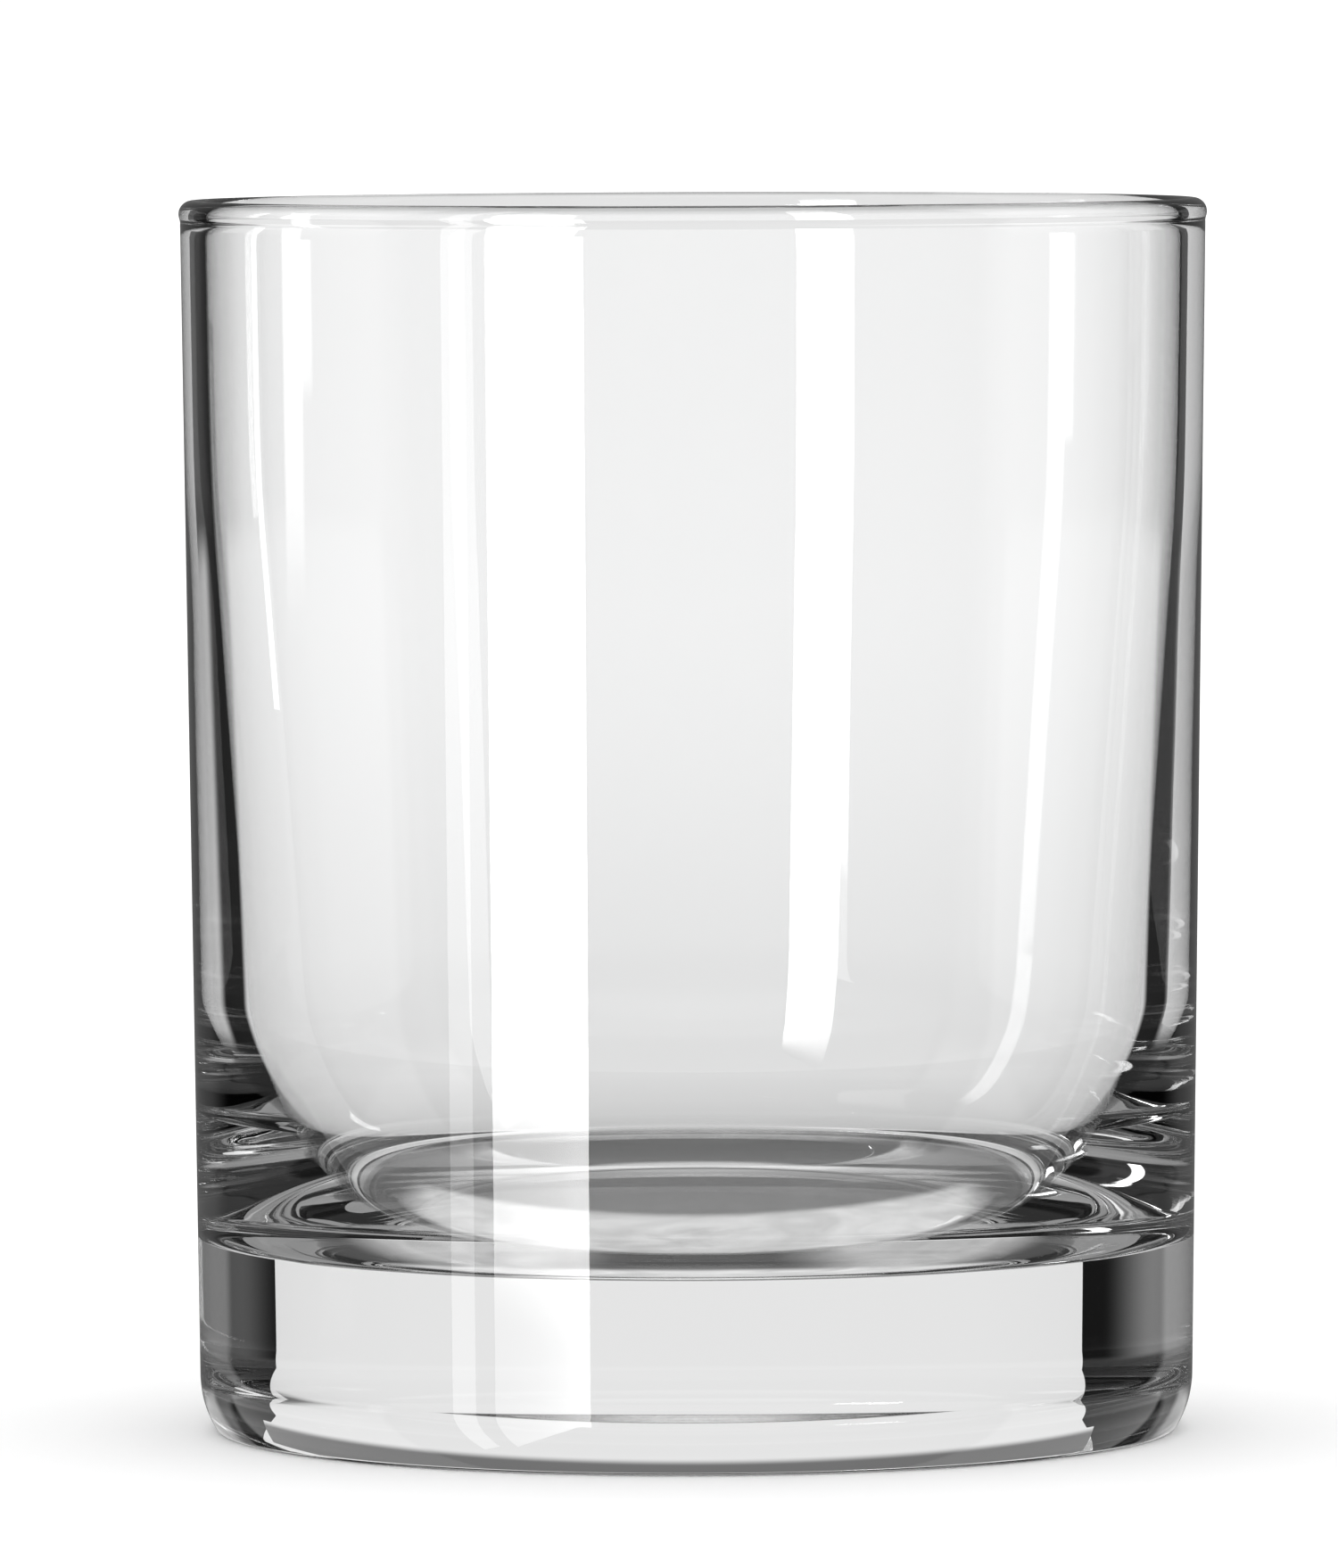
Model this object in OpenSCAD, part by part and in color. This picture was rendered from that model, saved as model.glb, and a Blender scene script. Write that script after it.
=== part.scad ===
// Rocks glass: a straight-sided tumbler with a heavy base, standing on the XY plane with its axis on Z.
// All sizes are in millimetres.

/* [Outside] */
// Height from the table to the top of the rim
glass_h = 95; // [85:1:110]
// Outside diameter of the wall, carried up to the top of the rim
rim_d = 79; // [74:0.5:90]
// Outside diameter of the wall, carried down to the table
foot_d = 76.6; // [72:0.2:88]

/* [Wall] */
// Wall thickness just under the bead on the lip
wall_top = 1.7; // [1.4:0.05:3]
// Wall thickness where the wall meets the rounded corner of the floor
wall_low = 4.15; // [3:0.05:6]

/* [Rim] */
// How far the rounded bead on the lip stands out past each face of the wall
bead_proud = 0.12; // [0:0.02:0.4]

/* [Base] */
// Thickness of glass under the middle of the floor
floor_t = 14.1; // [8:0.1:20]
// How far the rounded corner between the floor and the wall reaches in from the wall
corner_w = 8.6; // [4:0.2:16]
// How far the rounded corner reaches up from the floor
corner_h = 19.5; // [8:0.5:26]
// Radius of the outside heel
heel_r = 3; // [1.5:0.1:6]
// Width of the flat ring that the glass stands on
ring_w = 4; // [2:0.5:8]
// Depth of the shallow dome under the base
punt_depth = 0.8; // [0.4:0.1:2]

/* [Hidden] */

$fn = 128;
// Steps along the rounded corner of the floor
corner_steps = 24;
// Overlap that carries a cut clear past the face it opens
cut_past = 1;

// Outside face, a straight taper
taper = atan((rim_d - foot_d) / 2 / glass_h);
function outer_r(z) = foot_d / 2 + z * tan(taper);

// Round bead on the lip, and the height at which its section is as wide as the wall
bead_r = wall_top / 2 + bead_proud;
bead_z = glass_h - bead_r;
lip_z = bead_z - sqrt(bead_r * bead_r - wall_top * wall_top / 4);
bead_mid_r = outer_r(lip_z) - wall_top / 2;

// Inside face: a straight wall that thins evenly upwards, above the rounded corner
spring_z = floor_t + corner_h;
spring_r = outer_r(spring_z) - wall_low;
lip_r = outer_r(lip_z) - wall_top;
corner_mid_r = spring_r - corner_w;
// Lean of the inside face, which the corner takes up where it meets the wall
lean = (lip_r - spring_r) / (lip_z - spring_z);
// Point of the corner at an angle a, 0 where it meets the wall and 90 where it meets the floor:
// a quarter ellipse, sheared to the lean of the wall
function corner_point(a) = [
    corner_mid_r + corner_w * cos(a) - lean * corner_h * sin(a) * pow(cos(a), 2),
    spring_z - corner_h * sin(a)
];

// Heel arc, tangent to the table and to the tapered side
heel_mid_r = foot_d / 2 + heel_r * tan(taper) - heel_r / cos(taper);
punt_r = heel_mid_r - ring_w;
// Radius of the ball that cuts the dome under the base
punt_ball_r = (punt_r * punt_r + punt_depth * punt_depth) / 2 / punt_depth;

glass_colour = [0.86, 0.92, 0.93, 0.4];

// Half section of the solid outside, without the hollow
module outside_section() {
    polygon([
        [0, 0],
        [heel_mid_r, 0],
        [heel_mid_r, heel_r],
        [heel_mid_r + heel_r * cos(taper), heel_r - heel_r * sin(taper)],
        [outer_r(lip_z), lip_z],
        [0, lip_z]
    ]);
    translate([heel_mid_r, heel_r]) circle(r = heel_r);
}

// Half section of the hollow, open at the lip
module hollow_section() {
    polygon([
        [0, floor_t],
        for (i = [corner_steps : -1 : 0]) corner_point(90 * i / corner_steps),
        [lip_r, lip_z],
        [lip_r, lip_z + cut_past],
        [0, lip_z + cut_past]
    ]);
}

// Half section of the dome under the base
module punt_section() {
    intersection() {
        translate([0, punt_depth - punt_ball_r]) circle(r = punt_ball_r, $fn = 256);
        translate([0, -cut_past]) square([rim_d, cut_past + punt_depth]);
    }
}

// Part of the glass section between two heights
module glass_section(z0, z1) {
    difference() {
        intersection() {
            outside_section();
            translate([0, z0]) square([rim_d, z1 - z0]);
        }
        hollow_section();
        punt_section();
    }
}

// Fire-polished bead that rounds off the lip
module rim_bead() {
    color(glass_colour)
        rotate_extrude()
            intersection() {
                translate([bead_mid_r, bead_z]) circle(r = bead_r);
                translate([0, lip_z]) square([rim_d, glass_h]);
            }
}

// Tapered tube from the top of the rounded corner to the lip
module side_wall() {
    color(glass_colour) rotate_extrude() glass_section(spring_z, lip_z);
}

// Thick base with its heel, standing ring, shallow dome and dished floor
module heavy_base() {
    color(glass_colour) rotate_extrude() glass_section(0, spring_z);
}

rim_bead();
side_wall();
heavy_base();
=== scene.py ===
# %% [markdown]
# # A rocks glass in clear glass
# This lesson dresses the packed model of a short, heavy-based tumbler. Clear glass has almost no colour
# of its own: what the eye reads is how its faces bend and mirror the room. So most of the work is an
# exact section, one closed skin of glass turned from it, and a studio whose bright cards and dark gaps
# stand where a photographer of glassware puts them.

# %% Load the packed model
import math

import bmesh
import bpy
from mathutils import Matrix


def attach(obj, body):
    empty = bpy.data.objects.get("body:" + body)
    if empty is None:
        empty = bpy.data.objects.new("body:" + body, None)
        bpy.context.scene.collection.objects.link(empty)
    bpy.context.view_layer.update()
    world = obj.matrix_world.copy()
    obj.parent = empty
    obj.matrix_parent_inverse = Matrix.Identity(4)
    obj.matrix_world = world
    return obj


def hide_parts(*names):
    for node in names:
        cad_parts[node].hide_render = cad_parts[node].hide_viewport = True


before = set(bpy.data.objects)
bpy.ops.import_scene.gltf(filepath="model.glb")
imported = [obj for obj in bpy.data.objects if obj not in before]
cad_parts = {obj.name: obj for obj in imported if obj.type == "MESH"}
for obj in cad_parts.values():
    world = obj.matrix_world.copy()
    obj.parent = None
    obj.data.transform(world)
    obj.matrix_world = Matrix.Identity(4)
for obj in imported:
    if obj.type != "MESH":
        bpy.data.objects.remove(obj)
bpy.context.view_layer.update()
scene = bpy.context.scene
MM = 0.001
print("nodes:", sorted(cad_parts))

# %% [markdown]
# ## The section
# A tumbler is a body of revolution, so one half section says everything about its shape. It could be
# drawn as a curve and spun with a Screw modifier. Here it is a list of points in millimetres, because
# the wall, the bead and the rounded corner then follow from a few sizes, and each curve can have points
# so close that glass, which shows every flat, stays smooth. The walk starts at the middle of the
# underside, goes round the heel, up the outside, over the lip and down the inside to the floor.

# %% Sizes of the glass in millimetres
HEIGHT = 95.0
RIM_R, FOOT_R = 39.5, 38.3
TAPER = (RIM_R - FOOT_R) / HEIGHT
FLOOR_Z = 14.1
CORNER_IN, CORNER_UP = 8.8, 19.5
SPRING_Z = FLOOR_Z + CORNER_UP      # where the rounded corner meets the wall


def outside_r(z):
    """Radius of the straight tapered outside at a height."""
    return FOOT_R + TAPER * z


print("outside radius in mm at the foot, the spring of the corner and the lip:",
      [round(outside_r(z), 2) for z in (0, SPRING_Z, HEIGHT)])

# %% [markdown]
# ## The wall
# The wall of the real glass is thin and even near the lip and thickens steadily below, where the mould
# left more glass. Two straight stretches would meet in a ring that catches light, so a hyperbola eases
# the knee between them.

# %% Thickness of the wall
WALL_TOP, WALL_LOW = 1.88, 4.05
KNEE_Z, KNEE_SOFT = 71.6, 6.0


def thickening(z):
    """How far the wall has thickened at a height: nothing near the lip, then evenly below the knee."""
    below = KNEE_Z - z
    return (below + math.hypot(below, KNEE_SOFT)) / 2


def wall_thickness(z):
    """Thickness of the wall, from the lip down to the rounded corner."""
    return WALL_TOP + (WALL_LOW - WALL_TOP) * thickening(z) / thickening(SPRING_Z)


def inside_r(z):
    """Radius of the inside face at a height above the rounded corner."""
    return outside_r(z) - wall_thickness(z)


print("wall in mm at 90, 60 and 35:", [round(wall_thickness(z), 2) for z in (90, 60, 35)])

# %% [markdown]
# ## The underside and the heel
# The glass stands on a narrow flat ring with a shallow dome inside it, which keeps a wet foot from
# sticking to the table. The heel is two arcs that meet without a corner: a tight one at the toe, where
# the dark line along the table comes from, and a wide one that runs up into the side.

# %% Walk the underside and the heel
RING_W, PUNT_DEPTH, PUNT_STEPS = 4.0, 0.8, 24
PUNT_EASE = 1.5      # above 1, so that the dome runs out flat into the ring
HEEL_ARCS = ((0.7, 90, 31), (8.0, 31, 0))      # radius, then the lean from upright in degrees at both ends
TURN_STEP = 2.5
heel = []
across = up = 0.0
for r, start, end in HEEL_ARCS:
    steps = math.ceil((start - end) / TURN_STEP)
    for i in range(steps):
        a0, a1 = (math.radians(start + (end - start) * k / steps) for k in (i, i + 1))
        across += r * (math.cos(a1) - math.cos(a0))
        up += r * (math.sin(a0) - math.sin(a1))
        heel.append((across, up))
heel_top = up
toe = outside_r(heel_top) - across
punt_r = toe - RING_W
section = []
for i in range(PUNT_STEPS + 1):
    r = punt_r * i / PUNT_STEPS
    section.append((r, PUNT_DEPTH * (1 - (r / punt_r) ** 2) ** PUNT_EASE))
section += [(punt_r + RING_W / 2, 0.0), (toe, 0.0)]
section += [(toe + across, up) for across, up in heel]
print("heel in mm:", round(heel_top, 2), "high, standing ring out to", round(toe, 2))

# %% [markdown]
# ## The side and the bead
# A gas flame melts the cut edge of the lip into a round bead a little wider than the wall. Small fillets
# under it carry the face of the wall into the bead, because a sharp crease there would show as a black
# line all round.

# %% Walk up the side and over the bead
BEAD_PROUD, BEAD_FILLET = 0.12, 1.4
SIDE_STEPS, FILLET_STEPS, BEAD_STEPS = 90, 10, 36
bead_r = WALL_TOP / 2 + BEAD_PROUD
bead_z = HEIGHT - bead_r
fillet_out = WALL_TOP / 2 + BEAD_FILLET
fillet_down = math.sqrt((bead_r + BEAD_FILLET) ** 2 - fillet_out ** 2)
fillet_turn = math.atan2(fillet_down, fillet_out)
lip_z = bead_z - fillet_down
for i in range(1, SIDE_STEPS + 1):
    z = heel_top + (lip_z - heel_top) * i / SIDE_STEPS
    section.append((outside_r(z), z))
half_lip = []
for i in range(1, FILLET_STEPS):
    a = fillet_turn * i / FILLET_STEPS
    half_lip.append((fillet_out - BEAD_FILLET * math.cos(a), BEAD_FILLET * math.sin(a) - fillet_down))
for i in range(BEAD_STEPS + 1):
    a = -fillet_turn + (math.pi / 2 + fillet_turn) * i / BEAD_STEPS
    half_lip.append((bead_r * math.cos(a), bead_r * math.sin(a)))
for side, points in ((1, half_lip), (-1, half_lip[-2::-1])):
    for across, up in points:
        z = bead_z + up
        section.append((outside_r(z) - wall_thickness(z) / 2 + side * across, z))
print("bead starts in mm at", round(lip_z, 2), "and has", len(half_lip) * 2 - 1, "points")

# %% [markdown]
# ## The hollow
# Inside, the wall runs down to one large rounded corner and a flat floor. The corner is a quarter
# ellipse, sheared so that it leaves the wall at the wall's own lean. It bends light more than any other
# face of the glass, and it makes the dark swirls round the floor.

# %% Walk down the inside to the middle of the floor
WALL_STEPS, CORNER_STEPS, FLOOR_STEPS = 110, 72, 40
corner_mid = inside_r(SPRING_Z) - CORNER_IN
for i in range(WALL_STEPS):
    z = lip_z + (SPRING_Z - lip_z) * i / WALL_STEPS
    section.append((inside_r(z), z))
lean = inside_r(SPRING_Z + 1) - inside_r(SPRING_Z)      # outwards for each millimetre up
for i in range(CORNER_STEPS + 1):
    a = math.pi / 2 * i / CORNER_STEPS
    drop = CORNER_UP * math.sin(a)
    section.append((corner_mid + CORNER_IN * math.cos(a) - lean * drop * math.cos(a) ** 2, SPRING_Z - drop))
for i in range(1, FLOOR_STEPS + 1):
    section.append((corner_mid * (1 - i / FLOOR_STEPS), FLOOR_Z))
print("section points:", len(section), "flat floor radius in mm:", round(corner_mid, 1))

# %% [markdown]
# ## One skin of glass
# Light only bends correctly if the glass is one closed skin: three shells that touch would show false
# mirrors where they meet. So one mesh stands for the three solids of the model. Turning the section in
# code rather than with a modifier keeps the two poles clean, each a single point with a fan round it.

# %% Turn the section into a closed mesh
TURNS = 208
POLE_R = 1e-6


def turned_glass(name, points):
    """Revolve points from pole to pole into one closed mesh."""
    shape = bmesh.new()
    rings = []
    for r, z in points:
        if r < POLE_R:
            rings.append([shape.verts.new((0.0, 0.0, z * MM))])
            continue
        ring = []
        for k in range(TURNS):
            a = 2 * math.pi * k / TURNS
            ring.append(shape.verts.new((r * math.cos(a) * MM, r * math.sin(a) * MM, z * MM)))
        rings.append(ring)
    for low, high in zip(rings, rings[1:]):
        for k in range(TURNS):
            k2 = (k + 1) % TURNS
            if len(low) == 1:
                shape.faces.new((low[0], high[k2], high[k]))
            elif len(high) == 1:
                shape.faces.new((low[k], low[k2], high[0]))
            else:
                shape.faces.new((low[k], low[k2], high[k2], high[k]))
    bmesh.ops.recalc_face_normals(shape, faces=shape.faces)
    for face in shape.faces:
        face.smooth = True
    mesh = bpy.data.meshes.new(name)
    shape.to_mesh(mesh)
    shape.free()
    made = bpy.data.objects.new(name, mesh)
    scene.collection.objects.link(made)
    return made


glass = turned_glass("tumbler_glass", section)
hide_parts("heavy_base", "side_wall", "rim_bead")
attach(glass, "root")
print("glass faces:", len(glass.data.polygons))

# %% [markdown]
# ## Writing shader maths as Python
# Node trees are easier to read as formulas. This small class wraps one output socket: adding,
# subtracting, multiplying or dividing it adds the Math node, and every other node comes from its one
# method, which sets the node's own settings first and then its sockets.


# %% A socket that understands arithmetic
class Wire:
    """One output socket of a node tree."""

    def __init__(self, tree, socket=None):
        self.tree = tree
        self.socket = socket

    def node(self, kind, settings=None, inputs=None, out=0):
        """Add a node and hand back one output, or a list where out is a tuple of their names."""
        made = self.tree.nodes.new(kind)
        for key, value in (settings or {}).items():
            setattr(made, key, value)
        for key, value in (inputs or {}).items():
            if isinstance(value, Wire):
                self.tree.links.new(value.socket, made.inputs[key])
            else:
                made.inputs[key].default_value = value
        if isinstance(out, tuple):
            return [Wire(self.tree, made.outputs[name]) for name in out]
        return Wire(self.tree, made.outputs[out] if len(made.outputs) else None)

    def math(self, operation, *values):
        """Add a Math node on numbers and wires."""
        return self.node("ShaderNodeMath", {"operation": operation}, dict(enumerate(values)))

    def __add__(self, other):
        return self.math("ADD", self, other)

    def __radd__(self, other):
        return self.math("ADD", other, self)

    def __sub__(self, other):
        return self.math("SUBTRACT", self, other)

    def __rsub__(self, other):
        return self.math("SUBTRACT", other, self)

    def __mul__(self, other):
        return self.math("MULTIPLY", self, other)

    def __rmul__(self, other):
        return self.math("MULTIPLY", other, self)

    def __truediv__(self, other):
        return self.math("DIVIDE", self, other)

    def __rtruediv__(self, other):
        return self.math("DIVIDE", other, self)

    def __abs__(self):
        return self.math("ABSOLUTE", self)

    def step(self, low, high):
        """0 below low, 1 above high, eased between."""
        eased = {"interpolation_type": "SMOOTHSTEP"}
        return self.node("ShaderNodeMapRange", eased, {0: self, 1: low, 2: high})

    def band(self, low, high, soft):
        """1 between low and high, with edges that soften over soft to each side."""
        return self.step(low - soft, low + soft) * (1 - self.step(high - soft, high + soft))

    def above(self, count):
        """1 where a whole number is more than count."""
        return self.math("GREATER_THAN", self, count + 0.5)

    def below(self, count):
        """1 where a whole number is less than count."""
        return self.math("LESS_THAN", self, count - 0.5)


def fresh_tree(owner):
    """Empty the node tree of a material or world and hand back a Wire into it."""
    owner.use_nodes = True
    owner.node_tree.nodes.clear()
    return Wire(owner.node_tree)


print("a wire can:", [name for name in vars(Wire) if not name.startswith("_")])

# %% [markdown]
# ## The glass finish
# Soda-lime glass bends light by an index of about 1.52, and it is so clear that a wall this thin has no
# tint to speak of. Fire polishing leaves it smooth, yet never optically flat: the skin keeps shallow
# waves about a centimetre long, finer rings from the mould, and a trace of haze from washing. The waves
# and rings are a few thousandths of a millimetre high, too fine for a mesh, so they go through a Bump
# node. The haze goes into the roughness and, as a breath of grey, into the colour.

# %% Clear glass
WAVES_PER_M, RINGS_PER_M, HAZE_PER_M = 70.0, 420.0, 160.0
RING_SQUASH, RING_SHARE = (0.1, 0.1, 1.0), 0.25      # squashed coordinates stretch the noise into rings
WAVE_HEIGHT = 6e-6
GLASS_INDEX, POLISH, HAZE_ROUGH = 1.52, 0.003, 0.012
CLEAR, GREYED = (1.0, 1.0, 1.0, 1.0), (0.99, 0.993, 0.993, 1.0)
MIX_FACTOR, MIX_A, MIX_B, MIX_RESULT = 0, 6, 7, 2      # the colour sockets of a Mix node
finish = bpy.data.materials.new("clear_soda_lime_glass")
wire = fresh_tree(finish)
place = wire.node("ShaderNodeTexCoord", out="Object")
waves = wire.node("ShaderNodeTexNoise", {}, {"Vector": place, "Scale": WAVES_PER_M, "Detail": 1.0})
squashed = wire.node("ShaderNodeVectorMath", {"operation": "MULTIPLY"}, {0: place, 1: RING_SQUASH})
rings = wire.node("ShaderNodeTexNoise", {}, {"Vector": squashed, "Scale": RINGS_PER_M, "Detail": 0.0})
haze = wire.node("ShaderNodeTexNoise", {}, {"Vector": place, "Scale": HAZE_PER_M, "Detail": 3.0})
skin = wire.node("ShaderNodeBump", {}, {
    "Strength": 1.0,
    "Distance": WAVE_HEIGHT,
    "Height": waves + RING_SHARE * rings,
})
tint = wire.node("ShaderNodeMix", {"data_type": "RGBA"}, {MIX_FACTOR: haze, MIX_A: CLEAR, MIX_B: GREYED},
                 out=MIX_RESULT)
surface = wire.node("ShaderNodeBsdfPrincipled", {}, {
    "Base Color": tint,
    "Roughness": POLISH + HAZE_ROUGH * haze,
    "IOR": GLASS_INDEX,
    "Transmission Weight": 1.0,
    "Normal": skin,
})
wire.node("ShaderNodeOutputMaterial", {}, {"Surface": surface})
glass.data.materials.append(finish)
print("finish:", finish.name, "with", len(finish.node_tree.nodes), "nodes")

# %% [markdown]
# ## The room
# Glassware is photographed in a dark room with a few bright cards: the cards fill the clear middle of
# the glass, and the dark gaps between them draw its outlines. Most of what the glass mirrors is far
# away, so the room is painted on the world by azimuth and height instead of being built. The Light Path
# node says how light reached it: how often the glass mirrored it and how many faces of glass it passed.
# Light that was never mirrored sees a bright table, while light mirrored in the wall sees mostly the
# dark room. Light straight through the solid base sees side walls that pale away from the back card,
# which grades the dark blocks at both ends of the base. A narrow lamp far to the left shows only in the
# mirrors of the glass. The camera and matt surfaces see plain white, so that the floor and background
# stay clean.

# %% Directions in the room and the ways light comes
DEG = math.pi / 180
studio = bpy.data.worlds.new("studio")
scene.world = studio
studio.cycles.sampling_method = "NONE"
wire = fresh_tree(studio)
toward = wire.node("ShaderNodeTexCoord", out="Generated")
dx, dy, dz = wire.node("ShaderNodeSeparateXYZ", {}, {0: toward}, out=("X", "Y", "Z"))
azimuth = wire.math("ARCTAN2", dx, dy) / DEG      # 0 behind the glass, plus to the right, 180 in front
around = abs(azimuth)
height = wire.math("ARCSINE", dz) / DEG
seen, matt, mirrors, faces = wire.node(
    "ShaderNodeLightPath", out=("Is Camera Ray", "Is Diffuse Ray", "Glossy Depth", "Transmission Depth")
)
mirrored = wire.math("MINIMUM", mirrors, 1.0)
deep = mirrors.above(1)
once = mirrored - deep
inside = wire.math("MINIMUM", faces, 1.0)      # has been in the glass
base_only = inside * (1 - mirrored) * (1 - faces.above(2))
print("directions ready, nodes:", len(studio.node_tree.nodes))

# %% Light of the walls
# Ranges are in degrees. Azimuths count from the back, alike on both sides unless a side is named. A range
# of three numbers is a band: its start, its end and how soft its edges are.
SIDE, SIDE_ONCE, SIDE_HIGH = (62, 104, 2.0), (50, 104, 4.0), (36, 104, 2.0)
BACK_ENDS, FRONT_BEGINS = (30, 45), (104, 110)
FRONT_RISE, HIGH_RISE = (5, 12), (10, 16)
GAP_GREY, SIDE_GREY, SIDE_GREY_LOST = 0.006, 0.16, 0.13
EDGE_GREY, FRONT_GREY = 0.14, 0.04
SIDE_ONCE_LIGHT, FRONT_ONCE_LIGHT, HIGH_ONCE_LIGHT = 0.3, 0.5, 0.5
side_light = (SIDE_GREY - SIDE_GREY_LOST * deep) * around.band(*SIDE)
side_light = side_light + SIDE_ONCE_LIGHT * once * around.band(*SIDE_ONCE)
edge_light = EDGE_GREY * (1 - inside) * (1 - around.step(*BACK_ENDS))
front_once = FRONT_ONCE_LIGHT * once * inside * height.step(*FRONT_RISE)
front_light = (FRONT_GREY + front_once) * around.step(*FRONT_BEGINS)
high_light = HIGH_ONCE_LIGHT * once * inside * height.step(*HIGH_RISE) * around.band(*SIDE_HIGH)

LEFT_LAMP, LAMP_FOOT, LAMP_LIGHT = (-81.5, -75, 0.7), (-3.5, -2.5), 3.6
thin_lamp = LAMP_LIGHT * mirrored * height.step(*LAMP_FOOT) * azimuth.band(*LEFT_LAMP)

LEFT_PALES, RIGHT_PALES, PALE_ENDS, PALE_TOP = (43, 58), (45, 57), (102, 106), (-2, 1)
LEFT_GREY, RIGHT_GREY = 0.25, 0.1
graded = LEFT_GREY * (0 - azimuth).step(*LEFT_PALES) + RIGHT_GREY * azimuth.step(*RIGHT_PALES)
base_light = base_only * graded * (1 - around.step(*PALE_ENDS)) * (1 - height.step(*PALE_TOP))

walls = GAP_GREY + inside * side_light + edge_light + front_light + high_light + thin_lamp + base_light
print("walls painted, nodes:", len(studio.node_tree.nodes))

# %% Light of the ceiling and the table
OVERHEAD, OVERHEAD_ENDS, ZENITH = (48, 53), (75, 85), (74, 80)
CEILING_GREY, CEILING_ONCE_LIGHT, ZENITH_LIGHT = 0.03, 0.5, 0.8
overhead = height.step(*OVERHEAD) * (1 - around.step(*OVERHEAD_ENDS)) + ZENITH_LIGHT * height.step(*ZENITH)
ceiling = CEILING_GREY + deep * overhead + CEILING_ONCE_LIGHT * once * inside

TABLE_WHITE, TABLE_FALL, TABLE_LOWEST, FALL_ENDS = 0.93, 0.0068, -40.0, (20, 30)
BEHIND_ENDS, BEHIND_RISE, TABLE_SIDES, NEAR_ENDS = (24, 30), (-22, -16), (42, 102, 1.5), (-42, -34)
MIRRORED_GREY, TABLE_ONCE_LIGHT, DEEP_SIDE_GREY, DEEP_NEAR_GREY = 0.02, 0.75, 0.3, 0.45
fall = TABLE_FALL * wire.math("MAXIMUM", height, TABLE_LOWEST)
straight_table = TABLE_WHITE + fall * (1 - around.step(*FALL_ENDS))
behind = (1 - around.step(*BEHIND_ENDS)) * height.step(*BEHIND_RISE)
once_table = TABLE_ONCE_LIGHT * (around.band(*TABLE_SIDES) + behind)
deep_table = DEEP_SIDE_GREY * around.step(*BACK_ENDS) + DEEP_NEAR_GREY * (1 - height.step(*NEAR_ENDS))
table = straight_table * (1 - mirrored) + MIRRORED_GREY * mirrored + once_table * once + deep_table * deep
print("ceiling and table painted, nodes:", len(studio.node_tree.nodes))

# %% Put the room together
CEILING_BEGINS, TABLE_ENDS = (22, 30), (-9.0, -6.5)
SEEN_WHITE, MATT_WHITE = 1.06, 1.35
upper = height.step(*CEILING_BEGINS)
lower = 1 - height.step(*TABLE_ENDS)
radiance = (walls * (1 - upper) + ceiling * upper) * (1 - lower) + table * lower
plain = wire.math("MAXIMUM", seen, matt)
shown = SEEN_WHITE * seen + MATT_WHITE * matt + radiance * (1 - plain)
sky = wire.node("ShaderNodeBackground", {}, {"Color": shown, "Strength": 1.0})
wire.node("ShaderNodeOutputWorld", {}, {"Surface": sky})
print("room ready, nodes:", len(studio.node_tree.nodes))

# %% [markdown]
# ## Cards that glow
# A card is a flat sheet that shines on one side. Near cards are built as meshes, because the glass bends
# light so strongly that their distance matters. Each has a glow that answers only to the light it is
# meant for, which is how a photographer's flags work: they hide a card from one face of the glass and
# not from another. Any other light passes straight through, and the camera never sees a card.

# %% A card and its glow
NO_MIRROR, ONE_MIRROR = (0, 0), (1, 1)
MOST_FACES = 32      # of glass that light may pass before it is given up
NO_FACE, BASE_FACES, HOLLOW_FACES = (0, 0), (0, 2), (3, MOST_FACES)


def lit_card(name, start, end, low, high, glow):
    """An upright card between two points of the plan, in millimetres.

    It shines to the right of someone who walks from the start to the end. low and high are heights, or
    pairs of them where an edge slopes on that way.
    """
    mesh = bpy.data.meshes.new(name)
    (x0, y0), (x1, y1) = start, end
    low_start, low_end = low if isinstance(low, tuple) else (low, low)
    high_start, high_end = high if isinstance(high, tuple) else (high, high)
    corners = ((x0, y0, low_start), (x1, y1, low_end), (x1, y1, high_end), (x0, y0, high_start))
    mesh.from_pydata([tuple(c * MM for c in corner) for corner in corners], [], [(0, 1, 2, 3)])
    mesh.materials.append(glow)
    made = bpy.data.objects.new(name, mesh)
    scene.collection.objects.link(made)
    made.visible_camera = made.visible_diffuse = made.visible_shadow = False
    return made


def glow_of(name, level, mirrors=(0, 1), faces=(0, MOST_FACES), beyond=0.0):
    """A glow on the front of a card, for light that met so many mirrors and passed so many faces of glass.

    Light that met more mirrors than that sees a share of it, which beyond gives. level is a number, or a
    function that makes it from a wire into the tree.
    """
    glow = bpy.data.materials.new(name)
    glow.cycles.emission_sampling = "NONE"
    wire = fresh_tree(glow)
    colour = level(wire) if callable(level) else (level, level, level, 1.0)
    lit = wire.node("ShaderNodeEmission", {}, {"Color": colour, "Strength": 1.0})
    met, passed = wire.node("ShaderNodeLightPath", out=("Glossy Depth", "Transmission Depth"))
    off = wire.node("ShaderNodeNewGeometry", out="Backfacing")
    off = wire.math("MAXIMUM", off, (1 - beyond) * met.above(mirrors[1]))
    for reason in (met.below(mirrors[0]), passed.below(faces[0]), passed.above(faces[1])):
        off = wire.math("MAXIMUM", off, reason)
    clear = wire.node("ShaderNodeBsdfTransparent")
    both = wire.node("ShaderNodeMixShader", {}, {0: off, 1: lit, 2: clear})
    wire.node("ShaderNodeOutputMaterial", {}, {"Surface": both})
    return glow


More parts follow.
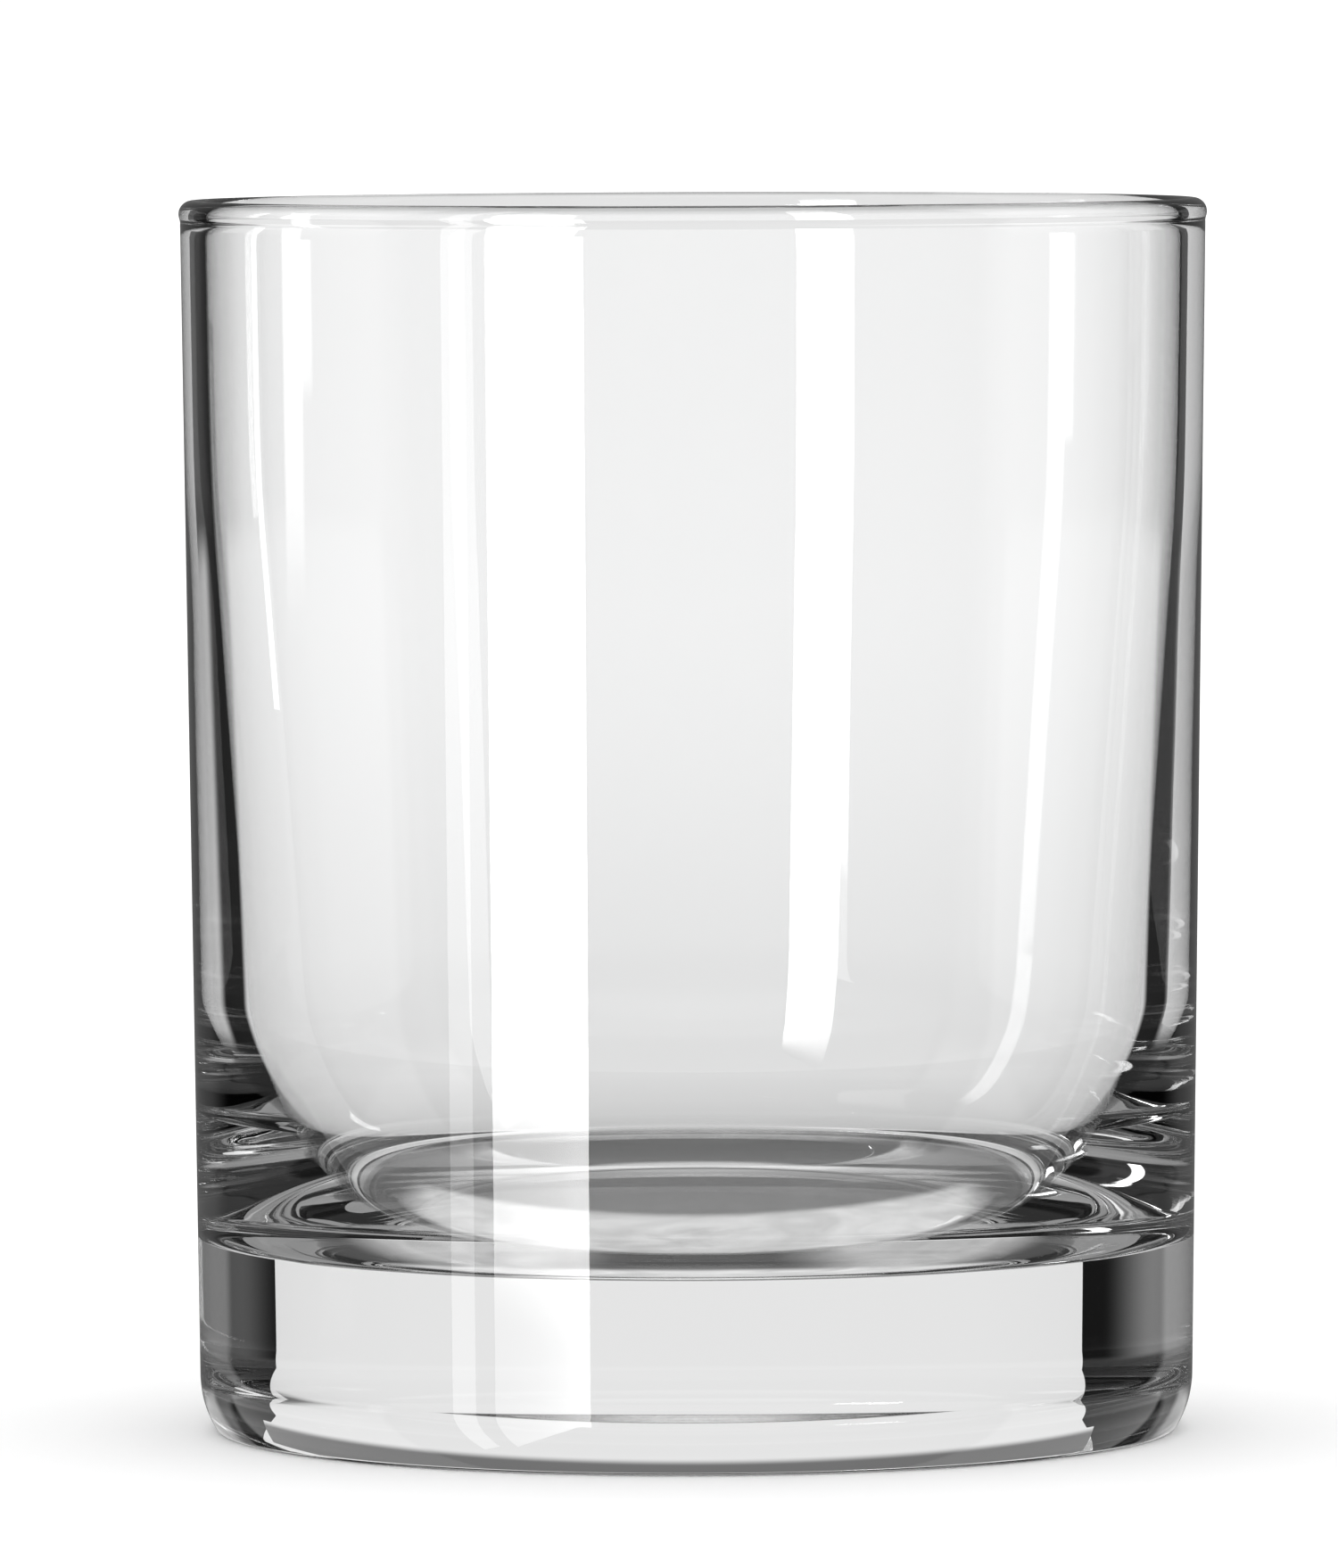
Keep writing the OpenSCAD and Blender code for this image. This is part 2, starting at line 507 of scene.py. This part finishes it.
def place_of(wire):
    """Where a point lies in the scene, as three wires in millimetres."""
    place = wire.node("ShaderNodeNewGeometry", out="Position")
    return [axis / MM for axis in wire.node("ShaderNodeSeparateXYZ", {}, {0: place}, out=("X", "Y", "Z"))]


print("card helpers ready")

# %% [markdown]
# ## The card behind the glass
# One wide white card behind the glass is what the clear middle shows. It is a little brighter towards
# the top for light through the hollow, and dimmer where the inside floor mirrors it. Light through the
# solid base passes only two faces and is shown a narrower card. The thick base is a strong lens that
# turns the picture behind it round, left for right, so the card's edges become the straight sides of the
# bright window in the base.

# %% Back card
BACK_Y, BACK_LEFT, BASE_LEFT, BACK_RIGHT = 167.0, -118.0, -97.0, 128.0
BACK_LOW, BACK_SPLIT, BACK_HIGH = -25.0, 150.0, 600.0
CARD_WHITE, TOP_WHITE, DEEP_SHARE = 0.85, 1.05, 0.35
HOLLOW_GAIN, HOLLOW_RISE, FLOOR_MIRROR_LOSS = 0.20, (-10, 50), 0.42


def back_level(wire):
    """Even for light of the base, brighter upwards through the hollow, dimmer in the mirror of its floor."""
    up = place_of(wire)[2]
    met, passed = wire.node("ShaderNodeLightPath", out=("Glossy Depth", "Transmission Depth"))
    hollow = passed.above(2)
    floor_mirror = hollow * (met.above(0) - met.above(1))
    return CARD_WHITE + HOLLOW_GAIN * hollow * up.step(*HOLLOW_RISE) - FLOOR_MIRROR_LOSS * floor_mirror


back_glow = glow_of("back_glow", back_level, beyond=DEEP_SHARE)
wing_glow = glow_of("wing_glow", back_level, faces=HOLLOW_FACES, beyond=DEEP_SHARE)
top_glow = glow_of("back_top_glow", TOP_WHITE, mirrors=NO_MIRROR)
for name, left, right, low, high, glow in (
    ("back_card", BASE_LEFT, BACK_RIGHT, BACK_LOW, BACK_SPLIT, back_glow),
    ("back_card_wing", BACK_LEFT, BASE_LEFT, BACK_LOW, BACK_SPLIT, wing_glow),
    ("back_card_top", BACK_LEFT, BACK_RIGHT, BACK_SPLIT, BACK_HIGH, top_glow),
):
    card = lit_card(name, (left, BACK_Y), (right, BACK_Y), low, high, glow)
    card.visible_glossy = False
print("back card in mm:", BACK_RIGHT - BACK_LEFT, "wide,", BACK_RIGHT - BASE_LEFT, "for light of the base")

# %% [markdown]
# ## Papers for the foot
# The heel bends light further out than the side above it does, which would pinch the window near the
# table. Two papers with sloping edges stand beside the card to fill it. A dark strip close behind the
# foot gives the soft dark line where the glass meets the table.

# %% Papers and dark strip for the foot
HEEL_SLOPE_LOW, HEEL_SLOPE_HIGH, HEEL_PAPER_TOP = 10.0, 74.0, 80.0
HEEL_RIGHT, HEEL_LEFT = 171.0, -121.0
STRIP_Y, STRIP_LEFT, STRIP_RIGHT, STRIP_LOW, STRIP_HIGH = 59.5, -12.0, 19.5, 9.5, 22.0
STRIP_LOSS, STRIP_EASE = 0.68, 3.0


def strip_level(wire):
    """As white as the card along its bottom, dark above."""
    return CARD_WHITE - STRIP_LOSS * place_of(wire)[2].step(STRIP_LOW, STRIP_LOW + STRIP_EASE)


base_glow = glow_of("base_glow", CARD_WHITE, mirrors=NO_MIRROR, faces=BASE_FACES)
lit_card("heel_paper_right", (BACK_RIGHT, BACK_Y), (HEEL_RIGHT, BACK_Y),
         (HEEL_SLOPE_LOW, HEEL_SLOPE_HIGH), HEEL_PAPER_TOP, base_glow)
lit_card("heel_paper_left", (HEEL_LEFT, BACK_Y), (BASE_LEFT, BACK_Y),
         (HEEL_SLOPE_HIGH, HEEL_SLOPE_LOW), HEEL_PAPER_TOP, base_glow)
lit_card("foot_strip", (STRIP_LEFT, STRIP_Y), (STRIP_RIGHT, STRIP_Y), STRIP_LOW, STRIP_HIGH,
         glow_of("strip_glow", strip_level, mirrors=NO_MIRROR, faces=BASE_FACES))
print("foot strip in mm:", STRIP_RIGHT - STRIP_LEFT, "wide")

# %% [markdown]
# ## Side cards and softboxes
# Cards at both sides brighten the limbs of the wall. The broad white streak that runs from the lip to
# the heel is a tall softbox at the front left, mirrored in the outside; the streak beside it is the same
# box mirrored in the far wall. The thin streak next to them is a narrow strip box, and the slanting one
# at the left edge is a small lamp behind the glass on the right.

# %% Softbox
# Places in plan and heights, in millimetres. The lit part starts lower and ends higher at the near end.
BOX_NEAR, BOX_FAR, BOX_LIP = (-217, -437), (-133, -145), (-190, -441)
BOX_LOW, BOX_HIGH, LIP_HIGH = -120, (240, 140), 130
BOX_DIM, BOX_NEARER_GAIN, BOX_LAMP, BOX_DEEP_SHARE = 2.3, 3.5, 7.0, 0.1
LAMP_RISE, LAMP_NEARER_DROP = (-8, 6), 38
BOX_FADE, FADE_NEARER_RISE = (85, 140), 100


def softbox_level(wire):
    """Brightest near the camera, dim along the bottom and fading out at the top."""
    y, z = place_of(wire)[1:]
    nearer = (BOX_FAR[1] - y) / (BOX_FAR[1] - BOX_NEAR[1])
    lamp = BOX_DIM + BOX_NEARER_GAIN * nearer + BOX_LAMP * (z + LAMP_NEARER_DROP * nearer).step(*LAMP_RISE)
    return lamp * (1 - (z - FADE_NEARER_RISE * nearer).step(*BOX_FADE))


box_glow = glow_of("softbox_glow", softbox_level, beyond=BOX_DEEP_SHARE)
lip_glow = glow_of("lip_glow", softbox_level, faces=NO_FACE)
lit_card("softbox", BOX_NEAR, BOX_FAR, BOX_LOW, BOX_HIGH, box_glow)
lit_card("softbox_lip", BOX_LIP, BOX_NEAR, BOX_LOW, LIP_HIGH, lip_glow)
print("softbox in mm:", round(math.dist(BOX_NEAR, BOX_FAR)), "long")

# %% Side cards, strip box and edge lamp
SIDE_X, SIDE_NEAR, SIDE_FAR, SIDE_LOW, SIDE_TOP, SIDE_WHITE = 135.0, -91, 45, -80, 190, 0.95
THIN_NEAR, THIN_FAR, THIN_LOW, THIN_HIGH, THIN_LIGHT = (-145, -135), (-140, -110), -120, 130, 2.4
EDGE_LEFT, EDGE_RIGHT, EDGE_LOW, EDGE_HIGH, EDGE_LIGHT = (94, 158), (110, 158), 40, 104, 5.0
side_glow = glow_of("side_glow", SIDE_WHITE, mirrors=NO_MIRROR)
thin_glow = glow_of("thin_glow", THIN_LIGHT, faces=BASE_FACES)
edge_glow = glow_of("edge_glow", EDGE_LIGHT, mirrors=ONE_MIRROR, faces=HOLLOW_FACES)
lit_card("left_card", (-SIDE_X, SIDE_NEAR), (-SIDE_X, SIDE_FAR), SIDE_LOW, SIDE_TOP, side_glow)
lit_card("right_card", (SIDE_X, SIDE_FAR), (SIDE_X, SIDE_NEAR), SIDE_LOW, SIDE_TOP, side_glow)
lit_card("strip_box", THIN_NEAR, THIN_FAR, THIN_LOW, THIN_HIGH, thin_glow)
lit_card("edge_lamp", EDGE_LEFT, EDGE_RIGHT, EDGE_LOW, EDGE_HIGH, edge_glow)

# %% [markdown]
# ## The floor
# The glass stands on a pale sheet of paper that runs far back, so that no horizon shows. The sheet has
# the faint mottle of real paper. The glass itself looks past it to the painted table of the room, which
# keeps the two under separate control.

# %% Pale floor
FLOOR_REACH = 60.0
PAPER_PER_M = 900.0
PAPER_LIGHT, PAPER_DARK = (0.935, 0.935, 0.935, 1.0), (0.925, 0.925, 0.925, 1.0)
floor_mesh = bpy.data.meshes.new("pale_floor")
floor_corners = [(x * FLOOR_REACH, y * FLOOR_REACH, 0.0) for x, y in ((-1, -1), (1, -1), (1, 1), (-1, 1))]
floor_mesh.from_pydata(floor_corners, [], [(0, 1, 2, 3)])
floor = bpy.data.objects.new("pale_floor", floor_mesh)
scene.collection.objects.link(floor)
paper = bpy.data.materials.new("pale_paper")
wire = fresh_tree(paper)
place = wire.node("ShaderNodeTexCoord", out="Object")
mottle = wire.node("ShaderNodeTexNoise", {}, {"Vector": place, "Scale": PAPER_PER_M, "Detail": 2.0})
tone = wire.node("ShaderNodeMix", {"data_type": "RGBA"},
                 {MIX_FACTOR: mottle, MIX_A: PAPER_LIGHT, MIX_B: PAPER_DARK}, out=MIX_RESULT)
sheet = wire.node("ShaderNodeBsdfPrincipled", {}, {
    "Base Color": tone,
    "Roughness": 1.0,
    "Specular IOR Level": 0.0,
})
wire.node("ShaderNodeOutputMaterial", {}, {"Surface": sheet})
floor_mesh.materials.append(paper)
floor.visible_transmission = False
floor.visible_glossy = False
print("floor:", 2 * FLOOR_REACH, "m wide")

# %% [markdown]
# ## The table under the glass
# Under the base the table is mostly in shade, but the glass gathers light into a bright crescent and a
# patch at the far side. Rendering that gathering takes very many samples, so it is painted on a disc
# that only light through the glass can see.

# %% Table under the glass
STAND_R, STAND_SIDES, STAND_DROP = 37.0, 96, 0.02
stand_mesh = bpy.data.meshes.new("table_spot")
stand_ring = []
for k in range(STAND_SIDES):
    a = 2 * math.pi * k / STAND_SIDES
    stand_ring.append((STAND_R * math.cos(a) * MM, STAND_R * math.sin(a) * MM, -STAND_DROP * MM))
stand_mesh.from_pydata(stand_ring, [], [tuple(range(STAND_SIDES))])
stand = bpy.data.objects.new("table_spot", stand_mesh)
scene.collection.objects.link(stand)
print("table spot radius in mm:", STAND_R)

# %% Light gathered on the table
# Ranges are in millimetres from the middle of the glass, x across and y away from the camera.
BROW_BEND, BROW_Y, BROW_EASE = 0.021, 3.5, (-1, 2)
POOL_EDGE, FAR_Y, FAR_X = (22, 26), (26, 31), (10, 22)
NEAR_X, NEAR_Y = (7, 18), (-18, -9)
SHADE, CRESCENT_LIGHT, FAR_LIGHT, NEAR_LIGHT = 0.1, 0.65, 0.43, 0.4
RIPPLES_PER_M, RIPPLE_TWIST, RIPPLE_BASE = 130.0, 1.5, 0.5
shaded = bpy.data.materials.new("shaded_table")
shaded.cycles.emission_sampling = "NONE"
wire = fresh_tree(shaded)
across, along = place_of(wire)[:2]
out = wire.math("SQRT", across * across + along * along)
brow = BROW_BEND * across * across - BROW_Y
crescent = (brow - along).step(*BROW_EASE) * (1 - out.step(*POOL_EDGE))
far_patch = along.step(*FAR_Y) * (1 - abs(across).step(*FAR_X))
near_sides = abs(across).step(*NEAR_X) * (1 - along.step(*NEAR_Y)) * out.step(*POOL_EDGE)
place = wire.node("ShaderNodeNewGeometry", out="Position")
ripple = wire.node("ShaderNodeTexNoise", {}, {
    "Vector": place,
    "Scale": RIPPLES_PER_M,
    "Distortion": RIPPLE_TWIST,
})
gathered = CRESCENT_LIGHT * crescent + FAR_LIGHT * far_patch + NEAR_LIGHT * near_sides
pooled = SHADE + gathered * (RIPPLE_BASE + ripple)
lit = wire.node("ShaderNodeEmission", {}, {"Color": pooled, "Strength": 1.0})
wire.node("ShaderNodeOutputMaterial", {}, {"Surface": lit})
stand_mesh.materials.append(shaded)
stand.visible_camera = stand.visible_diffuse = stand.visible_glossy = False
print("table spot nodes:", len(shaded.node_tree.nodes))

# %% [markdown]
# ## The camera
# The sides of the glass converge only slightly and the rim shows as a thin ellipse, so the picture was
# taken from about a metre away through a long lens, a little above the rim and tilted down a few
# degrees. The focal length is given in pixels of the picture and turned into millimetres of the sensor.

# %% Camera
PHOTO_LONG_SIDE, FOCAL_PX, OFF_CENTRE_PX, SENSOR = 1758.0, 15969.0, 28.6, 36.0
DISTANCE, EYE_HEIGHT = 1.098, 0.1103      # metres
TILT, PAN, ROLL = 0.055, OFF_CENTRE_PX / FOCAL_PX, -0.0033      # radians
eye = bpy.data.cameras.new("photo_camera")
eye.sensor_width = SENSOR
eye.lens = FOCAL_PX * SENSOR / PHOTO_LONG_SIDE
eye.clip_start, eye.clip_end = 0.01, 500.0
camera = bpy.data.objects.new("photo_camera", eye)
scene.collection.objects.link(camera)
camera.matrix_world = (
    Matrix.Translation((0.0, -DISTANCE, EYE_HEIGHT))
    @ Matrix.Rotation(PAN, 4, "Z")
    @ Matrix.Rotation(math.pi / 2 - TILT, 4, "X")
    @ Matrix.Rotation(ROLL, 4, "Z")
)
scene.camera = camera
print("lens in mm:", round(eye.lens, 1), "tilt in degrees:", round(math.degrees(TILT), 1))

# %% [markdown]
# ## Picture settings
# Whites have to stay white, so the Standard view is used rather than a film-like one. Light inside thick
# glass bounces many times before it gets out, and with too few bounces those places would turn black.

# %% Picture settings
scene.view_settings.view_transform = "Standard"
scene.cycles.max_bounces = 32
scene.cycles.transmission_bounces = MOST_FACES
scene.cycles.glossy_bounces = 16
scene.cycles.sample_clamp_indirect = 0.0
print("bounces:", scene.cycles.max_bounces, "view:", scene.view_settings.view_transform)

# %% [markdown]
# ## Closing update
# The view layer is updated so that the placements of all objects are current.

# %% Update the view layer
bpy.context.view_layer.update()
